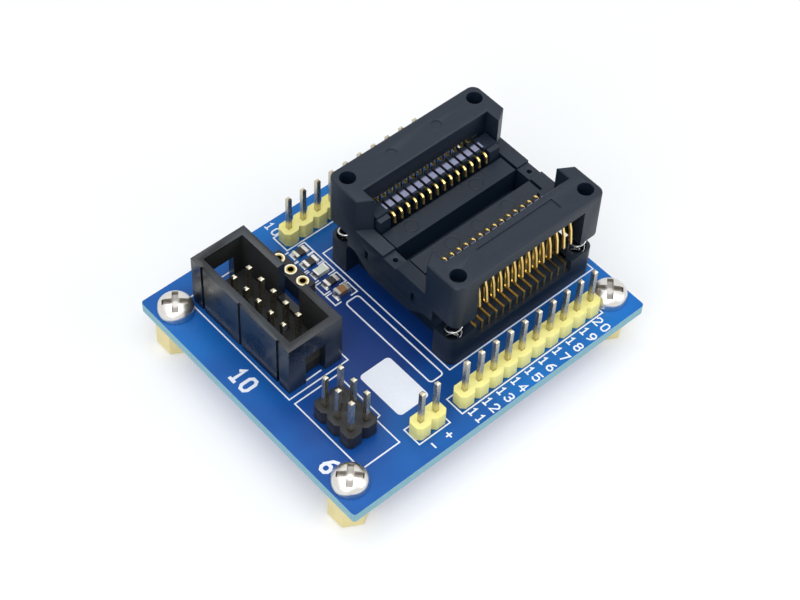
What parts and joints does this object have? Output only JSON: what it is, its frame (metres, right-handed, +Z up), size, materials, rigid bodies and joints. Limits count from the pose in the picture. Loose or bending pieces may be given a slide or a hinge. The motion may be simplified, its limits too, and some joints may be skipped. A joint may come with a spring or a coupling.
{
  "type": "ic programming adapter",
  "caption": "Circuit board adapter with a sprung open-top test socket, pin headers on both sides, a box header, a small header and a crystal socket, standing on brass standoffs.",
  "frame": {"origin": "middle of the board, level with the undersides of the four standoffs it stands on", "axes": "+X along the pin rows towards the test socket, +Y from the front row of pins to the back row, +Z up through the board"},
  "size_m": [0.0518, 0.044, 0.023],
  "materials": {
    "solder_mask": "glossy blue solder mask on a fibreglass laminate",
    "yellow_plastic": "pale yellow moulding, satin",
    "tinned_pins": "tinned square wire",
    "black_plastic": "black moulding with a soft sheen",
    "gold_plate": "gold plated copper alloy",
    "dark_ceramic": "dark ceramic with tinned ends",
    "pale_lens": "milky resin with tinned ends",
    "tan_ceramic": "tan ceramic with tinned ends",
    "socket_plastic": "black glass-filled moulding, fine grain",
    "brass": "drawn brass, lightly polished",
    "nickel_plate": "bright nickel plate",
    "spring_steel": "drawn spring wire"
  },
  "bodies": {
    "board": {"circuit_board": "solder_mask", "front_header_body": "yellow_plastic", "back_header_body": "yellow_plastic", "power_header_body": "yellow_plastic", "front_header_pins": "tinned_pins", "back_header_pins": "tinned_pins", "power_header_pins": "tinned_pins", "six_pin_header_pins": "tinned_pins", "box_header_pins": "tinned_pins", "six_pin_header_body": "black_plastic", "box_header_shroud": "black_plastic", "crystal_socket_body": "black_plastic", "crystal_socket_sleeves": "gold_plate", "chip_resistor_1": "dark_ceramic", "chip_resistor_2": "dark_ceramic", "chip_resistor_3": "dark_ceramic", "indicator_lamp": "pale_lens", "chip_capacitor": "tan_ceramic", "socket_base": "socket_plastic", "contacts_front": "gold_plate", "contacts_back": "gold_plate", "standoff_1": "brass", "screw_1": "nickel_plate", "spring_1": "spring_steel", "standoff_2": "brass", "screw_2": "nickel_plate", "spring_2": "spring_steel", "standoff_3": "brass", "screw_3": "nickel_plate", "spring_3": "spring_steel", "standoff_4": "brass", "screw_4": "nickel_plate", "spring_4": "spring_steel"},
    "cover": {"socket_cover": "socket_plastic"}
  },
  "joints": [
    {"name": "cover_press", "type": "slide", "parent": "board", "child": "cover", "axis": [0, 0, -1], "range_m": [0, 0.0022], "stiffness_N_per_m": 400, "springref_m": -0.001, "deforming": ["spring_1", "spring_2", "spring_3", "spring_4", "contacts_front", "contacts_back"]}
  ]
}
